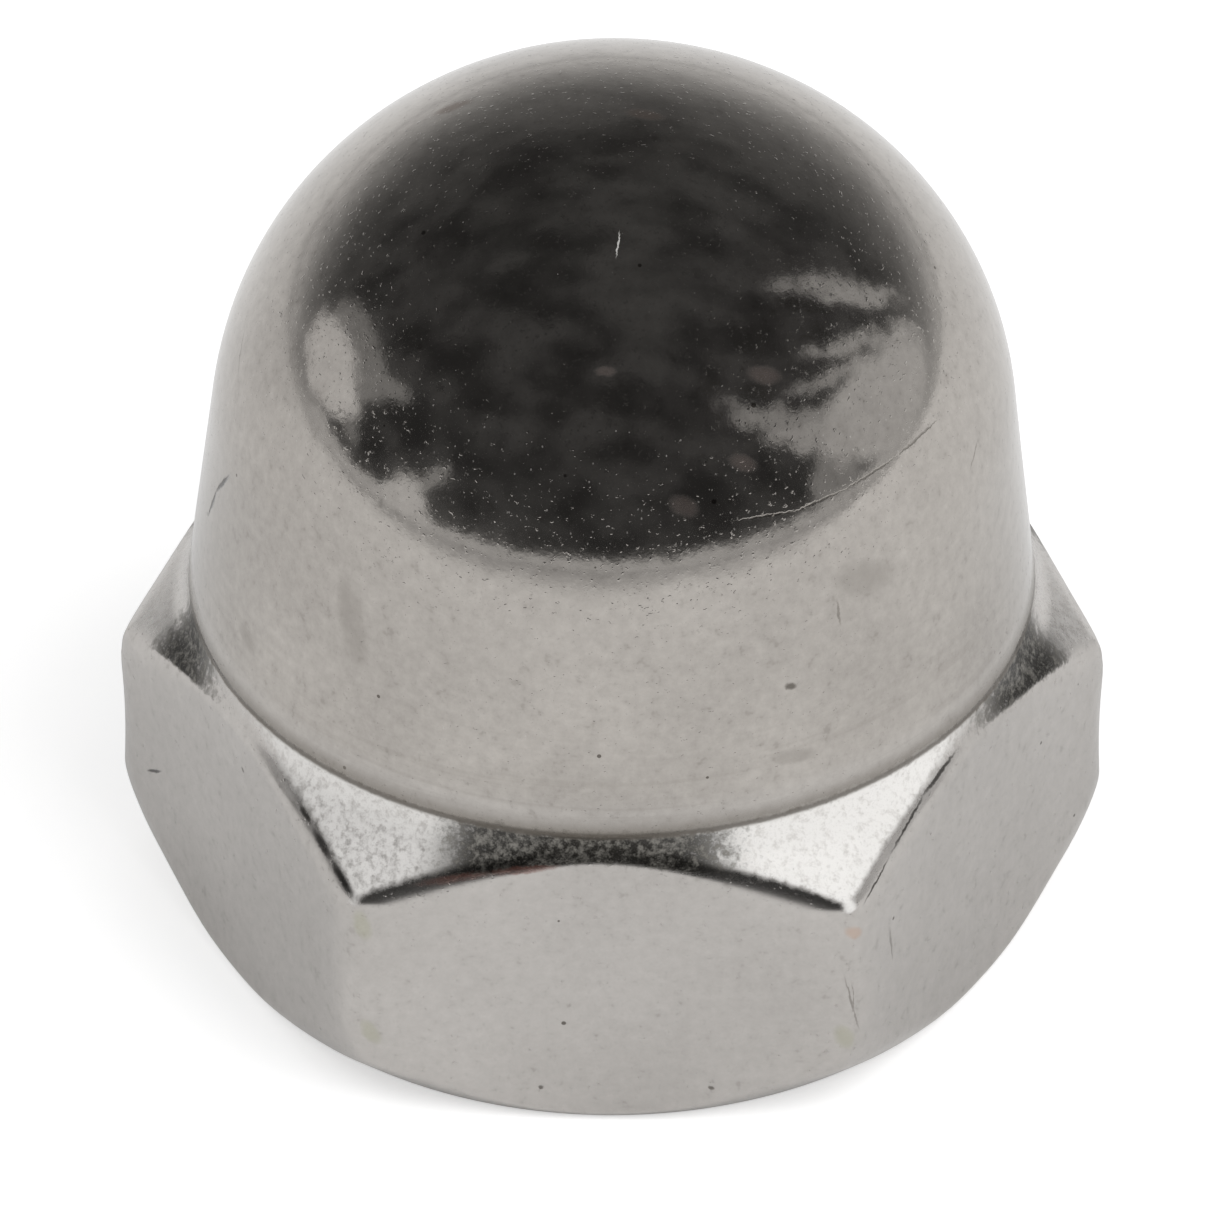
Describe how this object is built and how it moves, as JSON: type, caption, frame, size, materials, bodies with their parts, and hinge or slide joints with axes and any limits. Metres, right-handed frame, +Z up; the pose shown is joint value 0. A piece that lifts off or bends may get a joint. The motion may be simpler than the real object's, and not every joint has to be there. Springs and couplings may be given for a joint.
{
  "type": "cap nut",
  "caption": "One-piece domed cap nut: hexagon with chamfered ends, closed dome above, blind threaded hole opening at the flat bearing face.",
  "frame": {"origin": "centre of the bearing face, on the thread's axis", "axes": "+Z up the thread's axis towards the top of the dome; one flat of the hexagon faces -Y and the corners lie on the X axis"},
  "size_m": [0.0114, 0.01, 0.0106],
  "materials": {
    "stainless": "tumbled bright, finely pitted, warm grey"
  },
  "bodies": {
    "root": {"cap_nut": "stainless"}
  },
  "joints": []
}
